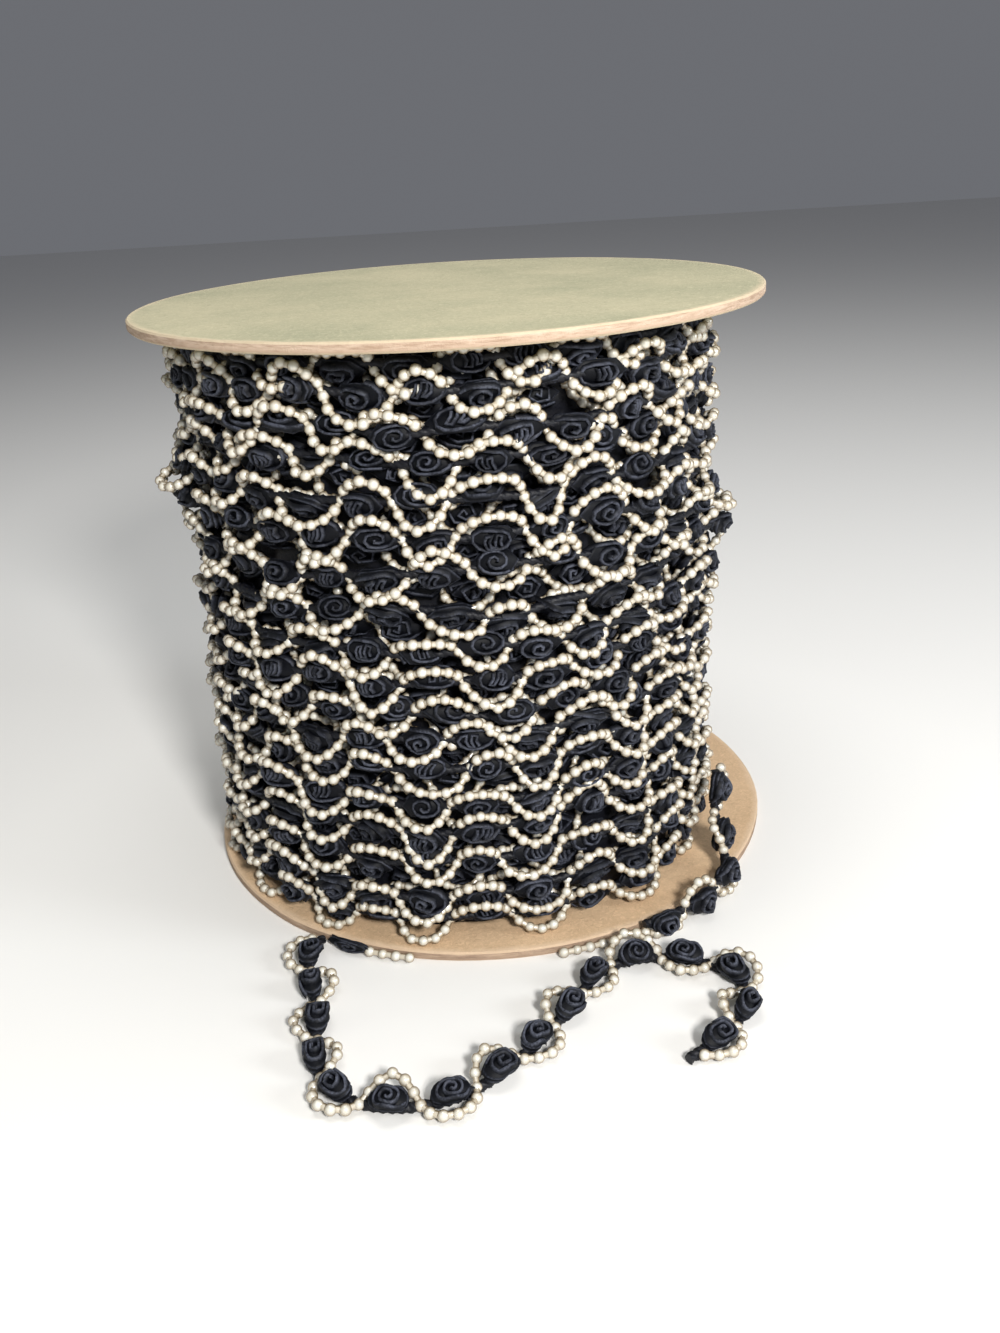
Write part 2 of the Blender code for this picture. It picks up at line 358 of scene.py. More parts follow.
braidLook = {
    "groove": (0.0015, 0.0018, 0.0035),
    "thread": (0.014, 0.015, 0.023),
    "roughness": 0.5,
    "specular": 0.3,
    "threads": 1400.0,
    "patches": 500.0,
    "bump": (0.0002, 0.8),
}


def makeBraidFinish(grain):
    made, tree, shader = newMaterial(
        "blackBraid", braidLook["roughness"], {"Specular IOR Level": braidLook["specular"]}
    )
    group = addNode(
        tree,
        "ShaderNodeGroup",
        {"Scale": braidLook["threads"], "Patches": braidLook["patches"]},
        node_tree=grain,
    )
    tree.links.new(
        colourMix(tree, group.outputs["Tone"], braidLook["groove"], braidLook["thread"]),
        shader.inputs["Base Color"],
    )
    addBump(tree, shader, group.outputs["Height"], *braidLook["bump"])
    return made


pearlLook = {
    "light": (0.71, 0.7, 0.635),
    "dark": (0.5, 0.41, 0.28),
    "rim": (0.24, 0.175, 0.095),  # painted shade where the surface turns away from the view
    "turned": (0.04, 0.55, 0.0, 0.92),  # facing from and to, and the share of painted rim shade at them
    "clouds": 420.0,
    "cloudy": (0.7, 1.2),
    "bump": (0.0001, 0.25),
    "roughness": 0.26,
    "plain": {
        "Specular IOR Level": 0.75,
        "Coat Weight": 1.0,
        "Coat Roughness": 0.12,
        "Subsurface Weight": 0.08,
        "Subsurface Scale": 0.0008,
        "Subsurface Radius": (1.0, 0.8, 0.5),
    },
}


def makePearl():
    made, tree, shader = newMaterial("ivoryPearl", pearlLook["roughness"], pearlLook["plain"])
    cloud = noiseValue(tree, objectPlace(tree), pearlLook["clouds"])
    cloudy = ranged(tree, cloud, 0.0, 1.0, *pearlLook["cloudy"])
    factor = maths(tree, "MULTIPLY", pointValue(tree, "shade"), cloudy, use_clamp=True)
    body = colourMix(tree, factor, pearlLook["dark"], pearlLook["light"])
    # painted shade: each pearl darkens towards its outline as seen
    away = addNode(tree, "ShaderNodeLayerWeight", {"Blend": 0.5}).outputs["Facing"]
    turned = ranged(tree, away, *pearlLook["turned"])
    tree.links.new(colourMix(tree, turned, body, pearlLook["rim"]), shader.inputs["Base Color"])
    addBump(tree, shader, cloud, *pearlLook["bump"])
    return made


cardLooks = {
    "upperCard": {
        "face": (0.5, 0.46, 0.31),
        "stain": (0.37, 0.36, 0.24),
        "wear": (0.66, 0.55, 0.38),
        "cut": (0.6, 0.46, 0.35),
        "cutDark": (0.3, 0.19, 0.12),
        "middle": (-0.00315, -0.00055, 0.1765),
    },
    "lowerCard": {
        "face": (0.64, 0.45, 0.28),
        "stain": (0.55, 0.38, 0.23),
        "wear": (0.72, 0.54, 0.37),
        "cut": (0.47, 0.34, 0.24),
        "cutDark": (0.2, 0.13, 0.09),
        "middle": (0.0, 0.0, 0.0015),
    },
}
cardMake = {  # lengths in metres
    "radius": 95 * mm,
    "roughness": 0.88,
    "specular": 0.3,
    "speck": (0.45, 0.72),  # strength, and tone beside the stain
    "fleck": (0.6, 1.3),  # strength, and tone beside the face
    "ragged": 0.004,
    "worn": (-0.0006, 0.0016, 0.8),  # from and to beside the radius, and strength
    "low": (0.0004, -0.0015),  # heights between which the cut darkens
    "plies": (0.36, 0.64),
    # how far the cut darkens at its dark plies and towards its foot
    "cutDarkening": 0.75,
    "slope": (0.85, 0.45),  # upright share of the normal where the face ends and the cut begins
    "bump": (0.0004, 0.7),
}


def makeCard(name, fibre):
    look = cardLooks[name]
    made, tree, shader = newMaterial(
        name, cardMake["roughness"], {"Specular IOR Level": cardMake["specular"]}
    )
    group = addNode(tree, "ShaderNodeGroup", node_tree=fibre)
    board = colourMix(tree, group.outputs["Stain"], look["stain"], look["face"])
    for label, (strength, tone), ground in (
        ("Speck", cardMake["speck"], look["stain"]),
        ("Fleck", cardMake["fleck"], look["face"]),
    ):
        share = maths(tree, "MULTIPLY", group.outputs[label], strength)
        board = colourMix(tree, share, board, tuple(c * tone for c in ground))
    fromMiddle = addNode(
        tree, "ShaderNodeVectorMath", {0: objectPlace(tree), 1: look["middle"]}, operation="SUBTRACT"
    ).outputs[0]
    parts = addNode(tree, "ShaderNodeSeparateXYZ", {0: fromMiddle}).outputs
    level = addNode(tree, "ShaderNodeCombineXYZ", {0: parts["X"], 1: parts["Y"]}).outputs[0]
    reach = addNode(tree, "ShaderNodeVectorMath", {0: level}, operation="LENGTH").outputs["Value"]
    ragged = maths(tree, "MULTIPLY_ADD", group.outputs["Plies"], cardMake["ragged"], reach)
    inner, outer, strength = cardMake["worn"]
    radius = cardMake["radius"]
    worn = ranged(tree, ragged, radius + inner, radius + outer, 0.0, strength)
    board = colourMix(tree, worn, board, look["wear"])
    lowness = ranged(tree, parts["Z"], *cardMake["low"])
    ply = ranged(tree, group.outputs["Plies"], *cardMake["plies"])
    # the cut is darker at its dark plies and towards its foot
    darkerCut = maths(tree, "MAXIMUM", ply, lowness)
    darkerCutShare = maths(tree, "MULTIPLY", darkerCut, cardMake["cutDarkening"])
    cut = colourMix(tree, darkerCutShare, look["cut"], look["cutDark"])
    normal = addNode(tree, "ShaderNodeNewGeometry").outputs["Normal"]
    upright = addNode(tree, "ShaderNodeSeparateXYZ", {0: normal}).outputs["Z"]
    rim = ranged(tree, maths(tree, "ABSOLUTE", upright), *cardMake["slope"])
    tree.links.new(colourMix(tree, rim, board, cut), shader.inputs["Base Color"])
    addBump(tree, shader, group.outputs["Height"], *cardMake["bump"])
    return made


# the shapes that repeat: rosettes, pearls and braid

rosette = {  # lengths in mm
    "halfWidth": 5.4,
    "rise": 6.2,
    "crown": (0.42, 2.3),  # how far the middle stands over the rim, and how fast it falls away
    "ribbonEdge": 0.52,
    "wall": 1.7,
    "squash": 0.82,  # across the strand
    "lens": 0.22,  # how far the outer coils draw out along the strand
    "tails": 0.9,  # how much more they do so at the foot
    "tailHeight": 3.0,
    "fold": 1.25,  # between the folds in the middle
    "foldReach": (1.3, 1.9),
    "foldLean": 0.55,
    "foldBend": 0.45,
    "foldUneven": 0.15,
    "foldEdge": 3.4,  # distance from the middle at which a fold would have no length
    "foldedTurns": (1.15, 1.5),  # round and round after the folds
    "coilTurns": (2.1, 2.7),  # round and round from the middle
    "topWave": 0.3,
    "topUneven": 0.1,
    "lean": 0.12,
    "tuck": 0.75,  # how far the ribbon's end goes down, a point
    "tuckPoints": 3,
    "shapes": 12,
}


def ribbonWay(rng, half, around, folded):
    # the ribbon from the middle outwards, seen from above: a few folds or none, then round and round
    way = []
    if folded:
        strokes = int(rng.integers(3, 5))
        slant = rng.uniform(-rosette["foldLean"], rosette["foldLean"])
        for k in range(strokes):
            x = (k - (strokes - 1) / 2) * rosette["fold"]
            x += rng.uniform(-rosette["foldUneven"], rosette["foldUneven"])
            reach = rng.uniform(*rosette["foldReach"]) * math.sqrt(1 - (x / rosette["foldEdge"]) ** 2)
            flip = 1 if k % 2 else -1
            for share in (-1, 0, 1):
                y = flip * share * reach
                bend = rosette["foldBend"] * (1 - share * share)
                way.append(Vector((x + slant * y + bend, y)))
        angle = math.atan2(way[-1].y, way[-1].x) + 0.35
        radius, turns = way[-1].length + 0.7, rng.uniform(*rosette["foldedTurns"])
    else:
        angle, radius, turns = rng.uniform(0, 2 * math.pi), 0.5, rng.uniform(*rosette["coilTurns"])
    growth = (half - 0.3 - radius) / (2 * math.pi * turns)
    last = angle + 2 * math.pi * turns
    twoWave, lean = rng.uniform(0, 2 * math.pi), rng.uniform(-0.3, 0.3)
    while angle < last:
        share = radius / half
        ripple = 1 + 0.06 * math.sin(2 * angle + twoWave)
        ripple += rosette["lens"] * share * math.cos(2 * angle + lean)
        across = 1 - (1 - rosette["squash"]) * share
        way.append(Vector((math.cos(angle) * ripple, math.sin(angle) * ripple * across)) * radius)
        step = 2 * math.pi / around * math.sqrt(half * 0.75 / max(radius, 0.7))
        angle += step
        radius += growth * step
    return way


def rosetteShape(name, seed, half, around, budSides):
    # a bud with a ribbon coiled on edge over it, face up, in millimetres
    rng = np.random.default_rng(seed)
    rise, thick, wall = rosette["rise"], rosette["ribbonEdge"], rosette["wall"]
    way = ribbonWay(rng, half, around, seed % 2 == 0)
    threeWave = rng.uniform(0, 2 * math.pi)
    lean = Vector(rng.uniform(-rosette["lean"], rosette["lean"], 2))
    verts, faces, edge = [], [], []

    def crown(radius):
        drop, power = rosette["crown"]
        return rise * (1 - drop * (radius / half) ** power)

    for number, spot in enumerate(way):
        ahead = (way[min(number + 1, len(way) - 1)] - way[max(number - 1, 0)]).normalized()
        side = Vector((-ahead.y, ahead.x))
        angle = math.atan2(spot.y, spot.x)
        top = crown(spot.length) + rosette["topWave"] * math.sin(3 * angle + threeWave)
        top += rng.normal(0, rosette["topUneven"])
        top += lean.dot(spot)
        left = len(way) - 1 - number
        top -= rosette["tuck"] * max(0, rosette["tuckPoints"] - left)
        # across, height, and share of the painted highlight: 1 along the ribbon's top edge
        for shift, height, lit in (
            (-thick, top - wall, 0.0),
            (-thick / 2, top - 0.1, 1.0),
            (thick / 2, top, 1.0),
            (thick, top - wall, 0.0),
        ):
            verts.append((spot.x + side.x * shift, spot.y + side.y * shift, height))
            edge.append(lit)
        if number:
            here, before = 4 * number, 4 * number - 4
            for k in range(3):
                faces.append((before + k, here + k, here + k + 1, before + k + 1))
    first = len(verts)
    start = rng.uniform(0, 2 * math.pi)
    rings = [  # distance from the middle, height, painted edge highlight or not: the coils below the rim
        (half * 0.72, 0.0, 0.0),
        (half * 0.9, 1.4, 1.0),
        (half * 0.83, 1.8, 0.0),
        (half * 0.98, 2.9, 1.0),
        (half * 0.86, 3.2, 0.0),
        (half * 0.5, crown(half * 0.5) - 1.2, 0.0),
    ]
    for radius, height, lit in rings:
        lowness = max(0.0, 1 - height / rosette["tailHeight"])
        drawn = rosette["lens"] * (1 + rosette["tails"] * lowness)
        for k in range(budSides):
            angle = 2 * math.pi * k / budSides
            out = radius * (1 + 0.04 * math.sin(5 * angle + start) + drawn * math.cos(2 * angle))
            verts.append((math.cos(angle) * out, math.sin(angle) * out * rosette["squash"], height))
            edge.append(lit)
    for ring in range(len(rings) - 1):
        for k in range(budSides):
            a = first + ring * budSides + k
            b = first + ring * budSides + (k + 1) % budSides
            faces.append((a, b, b + budSides, a + budSides))
    last, middle = first + (len(rings) - 1) * budSides, len(verts)
    verts += [(0, 0, rise - 1.5), (0, 0, 0)]
    edge += [0.0, 0.0]
    for k in range(budSides):
        faces.append((last + k, last + (k + 1) % budSides, middle))
    for k in range(budSides):
        faces.append((first + (k + 1) % budSides, first + k, middle + 1))
    return maskedMesh(name, verts, faces, edge)


def maskedMesh(name, verts, faces, edge):
    mesh = bpy.data.meshes.new(name)
    mesh.from_pydata([(x * mm, y * mm, z * mm) for x, y, z in verts], [], faces)
    mesh.shade_smooth()
    # where the satin paints its edge highlight, a value for each point
    mask = mesh.attributes.new("edge", "FLOAT", "POINT")
    mask.data.foreach_set("value", np.array(edge, np.float32))
    return mesh


def shapeCollection(name, meshes):
    group = bpy.data.collections.new(name)
    for number, mesh in enumerate(meshes):
        group.objects.link(bpy.data.objects.new(f"{name}_{number:02d}", mesh))
    return group


def makeRosetteTree():
    tree, given, out = newGeometryTree(
        "sewRosettes",
        [
            ("Shapes", "NodeSocketCollection", None),
            ("Size", "NodeSocketFloat", 1.0),
            ("Material", "NodeSocketMaterial", None),
        ],
    )
    shapes = addNode(
        tree,
        "GeometryNodeCollectionInfo",
        {
            "Collection": given.outputs["Shapes"],
            "Separate Children": True,
            "Reset Children": True,
        },
    )
    turn = addNode(tree, "FunctionNodeEulerToRotation", {0: named(tree, "facing", "FLOAT_VECTOR")})
    scale = addNode(
        tree,
        "ShaderNodeVectorMath",
        {0: named(tree, "stretch", "FLOAT_VECTOR"), "Scale": given.outputs["Size"]},
        operation="SCALE",
    )
    placed = addNode(
        tree,
        "GeometryNodeInstanceOnPoints",
        {
            "Points": given.outputs["Geometry"],
            "Instance": shapes.outputs[0],
            "Pick Instance": True,
            "Instance Index": named(tree, "shape", "INT"),
            "Rotation": turn.outputs[0],
            "Scale": scale.outputs[0],
        },
    )
    real = addNode(tree, "GeometryNodeRealizeInstances", {0: placed.outputs[0]})
    return withMaterial(tree, given, out, real)


pearls = {
    "spacing": 3.75 * mm,
    "radius": 1.66 * mm,
    "neck": 1.02 * mm,
    "neckSides": 5,
    # painted shade between the pearls: the necks take a darker tone
    "neckPaintedShade": 0.45,
    "size": (0.93, 1.05, 4),  # from, to, seed
    "shade": (0.7, 1.0, 9),
    "fine": {"Pearl radius": 1.6 * mm, "Segments": 14, "Rings": 9},  # on the loose end
}


def randomBetween(tree, low, high, seed):
    ends = {2: low, 3: high, "Seed": seed}
    return addNode(tree, "FunctionNodeRandomValue", ends, data_type="FLOAT").outputs[1]


def makePearlTree():
    tree, given, out = newGeometryTree(
        "stringPearls",
        [
            ("Spacing", "NodeSocketFloat", pearls["spacing"]),
            ("Pearl radius", "NodeSocketFloat", pearls["radius"]),
            ("Neck radius", "NodeSocketFloat", pearls["neck"]),
            ("Segments", "NodeSocketInt", 8),
            ("Rings", "NodeSocketInt", 6),
            ("Material", "NodeSocketMaterial", None),
        ],
    )
    line = addNode(tree, "GeometryNodeMeshToCurve", {0: given.outputs["Geometry"]})
    beads = addNode(
        tree,
        "GeometryNodeResampleCurve",
        {"Curve": line.outputs[0], "Length": given.outputs["Spacing"]},
        mode="LENGTH",
    )
    pearl = addNode(
        tree,
        "GeometryNodeMeshUVSphere",
        {
            "Segments": given.outputs["Segments"],
            "Rings": given.outputs["Rings"],
            "Radius": given.outputs["Pearl radius"],
        },
    )
    along = addNode(tree, "GeometryNodeInputTangent")
    turn = addNode(
        tree, "FunctionNodeAlignRotationToVector", {"Vector": along.outputs[0]}, axis="Z"
    )
    placed = addNode(
        tree,
        "GeometryNodeInstanceOnPoints",
        {
            "Points": beads.outputs[0],
            "Instance": pearl.outputs[0],
            "Rotation": turn.outputs[0],
            "Scale": randomBetween(tree, *pearls["size"]),
        },
    )
    toned = stored(tree, placed, "shade", randomBetween(tree, *pearls["shade"]), "INSTANCE")
    ring = addNode(
        tree,
        "GeometryNodeCurvePrimitiveCircle",
        {"Resolution": pearls["neckSides"], "Radius": given.outputs["Neck radius"]},
    )
    neck = addNode(
        tree,
        "GeometryNodeCurveToMesh",
        {"Curve": beads.outputs[0], "Profile Curve": ring.outputs[0], "Fill Caps": True},
    )
    # painted shade between the pearls: a darker tone on the necks
    neckToned = stored(tree, neck, "shade", pearls["neckPaintedShade"], "POINT")
    real = addNode(tree, "GeometryNodeRealizeInstances", {0: toned})
    both = addNode(tree, "GeometryNodeJoinGeometry")
    tree.links.new(neckToned, both.inputs[0])
    tree.links.new(real.outputs[0], both.inputs[0])
    smooth = addNode(tree, "GeometryNodeSetShadeSmooth", {"Geometry": both.outputs[0]})
    return withMaterial(tree, given, out, smooth)


def makeBraidTree():
    tree, given, out = newGeometryTree(
        "twistBraid",
        [
            ("Radius", "NodeSocketFloat", 1.35 * mm),
            ("Strands", "NodeSocketFloat", 3.0),
            ("Groove", "NodeSocketFloat", 0.16),
            ("Twist", "NodeSocketFloat", 900.0),  # radians a metre
            ("Sides", "NodeSocketInt", 9),
            ("Material", "NodeSocketMaterial", None),
        ],
    )
    line = addNode(tree, "GeometryNodeMeshToCurve", {0: given.outputs["Geometry"]})
    length = addNode(tree, "GeometryNodeSplineParameter").outputs["Length"]
    turned = maths(tree, "MULTIPLY", length, given.outputs["Twist"])
    twisted = addNode(
        tree, "GeometryNodeSetCurveTilt", {"Curve": line.outputs[0], "Tilt": turned}
    )
    ring = addNode(
        tree,
        "GeometryNodeCurvePrimitiveCircle",
        {"Resolution": given.outputs["Sides"], "Radius": given.outputs["Radius"]},
    )
    share = addNode(tree, "GeometryNodeSplineParameter").outputs["Factor"]
    lobes = maths(tree, "MULTIPLY", given.outputs["Strands"], 2 * math.pi)
    wave = maths(tree, "COSINE", maths(tree, "MULTIPLY", share, lobes))
    depth = maths(tree, "MULTIPLY", wave, given.outputs["Groove"])
    place = addNode(tree, "GeometryNodeInputPosition").outputs[0]
    shift = addNode(tree, "ShaderNodeVectorMath", {0: place, "Scale": depth}, operation="SCALE")
    profile = addNode(
        tree, "GeometryNodeSetPosition", {"Geometry": ring.outputs[0], "Offset": shift.outputs[0]}
    )
    tube = addNode(
        tree,
        "GeometryNodeCurveToMesh",
        {"Curve": twisted.outputs[0], "Profile Curve": profile.outputs[0], "Fill Caps": True},
    )
    smooth = addNode(tree, "GeometryNodeSetShadeSmooth", {"Geometry": tube.outputs[0]})
    real = addNode(tree, "GeometryNodeRealizeInstances", {0: smooth.outputs[0]})
    return withMaterial(tree, given, out, real)


def sew(name, spots, shapes, size):
    mesh = bpy.data.meshes.new(name)
    mesh.from_pydata([tuple(spot["place"] * mm) for spot in spots], [], [])
    for word, kind in (
        ("facing", "FLOAT_VECTOR"),
        ("stretch", "FLOAT_VECTOR"),
        ("shape", "INT"),
        ("shade", "FLOAT"),
    ):
        mesh.attributes.new(word, kind, "POINT")
    for number, spot in enumerate(spots):
        side = spot["face"].cross(spot["along"]).normalized()
        along = side.cross(spot["face"]).normalized()
        turn = Matrix((along, side, spot["face"])).transposed()
        mesh.attributes["facing"].data[number].vector = turn.to_euler()
        mesh.attributes["stretch"].data[number].vector = spot["stretch"]
        mesh.attributes["shape"].data[number].value = spot["shape"]
        mesh.attributes["shade"].data[number].value = spot["shade"]
    return runTree(name, mesh, rosetteTree, {"Shapes": shapes, "Size": size, "Material": satin})


def atAzimuth(azimuth, reach, height=0.0):
    angle = math.radians(azimuth)
    return Vector((math.sin(angle) * reach, -math.cos(angle) * reach, height))


# the winding

winding = {  # lengths in mm
    "footRadius": 84.1,
    "topRadius": 82.1,
    "footMiddle": Vector((-8.1, -6.5, 0)),
    "topMiddle": Vector((-4.4, -3.5, 0)),
    "height": 178.0,
    "lump": 1.6,
    "lumpSize": 34.0,
    "sway": 1.3,
    "swaySize": 55.0,
    "levelEnds": (3.0, 175.0, 11.0),  # the cards' heights, and how far from them it sways less
    "pitch": 11.6,  # degrees between rosettes in front
    "level": 70.0,  # degrees each side of the front where that pitch holds
    "rows": [  # height in front, azimuth of a rosette with its pearls above, how far it stands out
        (9.5, 3.5, 0.0),
        (18.5, 3.0, 0.4),
        (29.0, 3.0, 0.2),
        (39.0, 3.0, 0.0),
        (48.5, 3.0, 0.4),
        (58.5, 4.0, 0.0),
        (67.5, 3.0, 0.3),
        (75.5, -2.0, -0.2),
        (85.5, -5.0, 0.2),
        (94.5, -6.5, 0.5),
        (104.5, 9.5, -0.4),
        (115.5, -3.0, 0.6),
        (126.0, 8.0, -0.2),
        (136.0, -17.0, 0.5),
        (146.0, -15.0, -0.6),
        (154.0, -10.0, 0.7),
        (163.5, -4.5, 0.3),
        (171.0, 4.0, -1.2),
    ],
    "rowGap": 9.5,  # from the first and the last row to the turn behind a card
    "runOn": 16,  # rosettes there
    "climb": (0.3, 0.3, 0.4),  # share climbed evenly, and where the rest begins and its length
    "slips": [  # azimuth, height, how far it stands out, width, height of the stretch
        (-80, 129, 8.5, 11, 8),
        (80, 108, 7.6, 11, 11),
        (-80, 163, 3.0, 12, 6),
        (38, 12, 2.5, 26, 12),
    ],
    "lowest": 7.6,
    "highest": 170.6,
}


def windingPlace(azimuth, height, depth, proud=0.0):
    share = height / winding["height"]
    radius = winding["footRadius"] + (winding["topRadius"] - winding["footRadius"]) * share
    out = atAzimuth(azimuth, 1)
    base = out * radius
    lump = winding["lump"] * noise.noise(Vector((base.x, base.y, height)) / winding["lumpSize"])
    sway = winding["sway"] * noise.noise(Vector((base.x, base.y, 200)) / winding["swaySize"])
    turned = (azimuth + 180) % 360 - 180
    for slipAzimuth, slipHeight, lift, wide, high in winding["slips"]:
        across = math.radians(turned - slipAzimuth) * winding["footRadius"] / wide
        above = (height - slipHeight) / high
        lump += lift * math.exp(-(across**2) - above**2)
    foot, head, ease = winding["levelEnds"]
    inside = max(0.0, min(1.0, (height - foot) / ease, (head - height) / ease))
    place = winding["footMiddle"].lerp(winding["topMiddle"], share)
    place = place + out * (radius + lump + proud - depth)
    place.z = height + sway * inside
    return place, out


def rosetteSteps():
    # azimuth of every rosette along the strand, counted on from turn to turn
    rows, pitch, level = winding["rows"], winding["pitch"], winding["level"]
    near, runOn = int(level / pitch), winding["runOn"]
    steps = [rows[0][1] - pitch * k for k in range(runOn, 0, -1)]
    for row in range(len(rows) - 1):
        begin = 360 * row + rows[row][1]
        end = 360 * (row + 1) + rows[row + 1][1]
        count = 2 * round((end - begin) / pitch / 2)
        spots = [begin + pitch * k for k in range(near + 1)]
        far = [end - pitch * k for k in range(near, 0, -1)]
        between = count - 2 * near
        spots += [spots[-1] + (far[0] - spots[-1]) * k / between for k in range(1, between)]
        steps += spots + far
    begin = 360 * (len(rows) - 1) + rows[-1][1]
    return np.array(steps + [begin + pitch * k for k in range(runOn + 1)])


def strandHeight(azimuth):
    # level in front, climbing to the next row mostly at the back
    rows, gap = winding["rows"], winding["rowGap"]
    evenly, begin, long = winding["climb"]
    turn = math.floor(azimuth / 360)
    share = azimuth / 360 - turn
    heights = [rows[0][0] - gap] + [row[0] for row in rows] + [rows[-1][0] + gap]
    prouds = [0.0] + [row[2] for row in rows] + [0.0]
    ease = min(1.0, max(0.0, (share - begin) / long))
    climb = evenly * share + (1 - evenly) * ease * ease * (3 - 2 * ease)
    low, high = heights[turn + 1], heights[turn + 2]
    proud = prouds[turn + 1] + (prouds[turn + 2] - prouds[turn + 1]) * climb
    return low + (high - low) * climb, proud


def clampHeight(height, margin):
    low, high = winding["lowest"] - margin, winding["highest"] + margin
    return max(low, min(high, height))


layers = {  # the under layer closes the gaps between the outer turns
    "outer": {"depth": 0.0, "shift": 0.0, "raise": 0.0, "seed": 11, "jitter": 1.0},
    "under": {"depth": 6.2, "shift": 6.0, "raise": 5.0, "seed": 12, "jitter": 0.7},
}
strand = {  # mm, degrees
    "uneven": (0.9, 0.55, 0.5),  # up, outwards and round, standard deviations
    "reach": (4.7, 7.3),  # how far the pearls swing from the braid
    "slide": 0.09,  # where they cross it, beside the middle between two rosettes
    "swing": 0.7,  # below 1 their waves are blunt
    "tilts": ((28, 56), (11, 26)),  # of the rosettes up and sideways: usual, and at most
    "long": (0.98, 1.24),  # a rosette's size along the strand, across it and outwards
    "wide": (0.92, 1.06),
    "high": (0.9, 1.08),
    "shade": (0.45, 1.0),
    "rosetteDepth": 7.2,  # below the outside of the winding
    "braidDepth": 5.0,
    "pearlDepth": 7.2,  # where the string crosses the braid
    "pearlRise": 6.5,
    "pearlRoom": 3.0,  # how far pearls may pass the last rosettes
    "points": 12,  # on the way from one rosette to the next
    "strayPace": 0.83,
    "strays": (1.1, 1.3, 0.8),  # of the pearls round, up and outwards
}


def layStrand(layer):
    rng = np.random.default_rng(layer["seed"])
    steps = rosetteSteps() + layer["shift"]
    count = len(steps)
    dz, dr, daz = (rng.normal(0, sigma, count) * layer["jitter"] for sigma in strand["uneven"])
    reach = rng.uniform(*strand["reach"], count)
    slide = rng.normal(0, strand["slide"], count)
    tiltUp, tiltSide = (
        np.clip(rng.normal(0, usual, count), -most, most) for usual, most in strand["tilts"]
    )
    index = np.arange(count)
    spots = []
    for k in range(count):
        azimuth = steps[k] + daz[k]
        height, proud = strandHeight(steps[k])
        height = clampHeight(height + dz[k] + layer["raise"], 0)
        depth = strand["rosetteDepth"] + layer["depth"] - dr[k]
        place, out = windingPlace(azimuth, height, depth, proud)
        along = Vector((-out.y, out.x, 0))
        face = out.copy()
        face.rotate(Matrix.Rotation(math.radians(tiltSide[k]), 3, Vector((0, 0, 1))))
        face.rotate(Matrix.Rotation(math.radians(tiltUp[k]), 3, along))
        long = rng.uniform(*strand["long"])
        spots.append(
            {
                "place": place,
                "face": face,
                "along": along * rng.choice([-1, 1]),
                "stretch": (long, rng.uniform(*strand["wide"]), rng.uniform(*strand["high"])),
                "shape": int(rng.integers(rosette["shapes"])),
                "shade": rng.uniform(*strand["shade"]),
            }
        )
    braid, string = [], []
    strayRound, strayUp, strayOut = strand["strays"]
    for u in np.arange(0, count - 1, 1 / strand["points"]):
        azimuth = np.interp(u, index, steps + daz)
        height, proud = strandHeight(np.interp(u, index, steps))
        height += np.interp(u, index, dz) + layer["raise"]
        out = np.interp(u, index, dr)
        height = clampHeight(height, 0)
        depth = strand["braidDepth"] + layer["depth"] - out
        braid.append(windingPlace(azimuth, height, depth, proud)[0])
        wave = math.cos(math.pi * (u + np.interp(u, index + 0.5, slide)))
        outward = abs(wave)
        offset = np.interp(u, index, reach) * math.copysign(outward ** strand["swing"], wave)
        stray = Vector((u * strand["strayPace"], layer["seed"], 0.5))
        azimuth += strayRound * noise.noise(stray)
        offset += strayUp * noise.noise(stray + Vector((0, 7, 0)))
        lift = strayOut * noise.noise(stray + Vector((0, 0, 9)))
        depth = strand["pearlDepth"] - strand["pearlRise"] * outward**0.5
        depth += layer["depth"] - out - lift
        above = clampHeight(height + offset, strand["pearlRoom"])
        string.append(windingPlace(azimuth, above, depth, proud)[0])
    return spots, braid, string


# the loose end, along the same routes as the solids

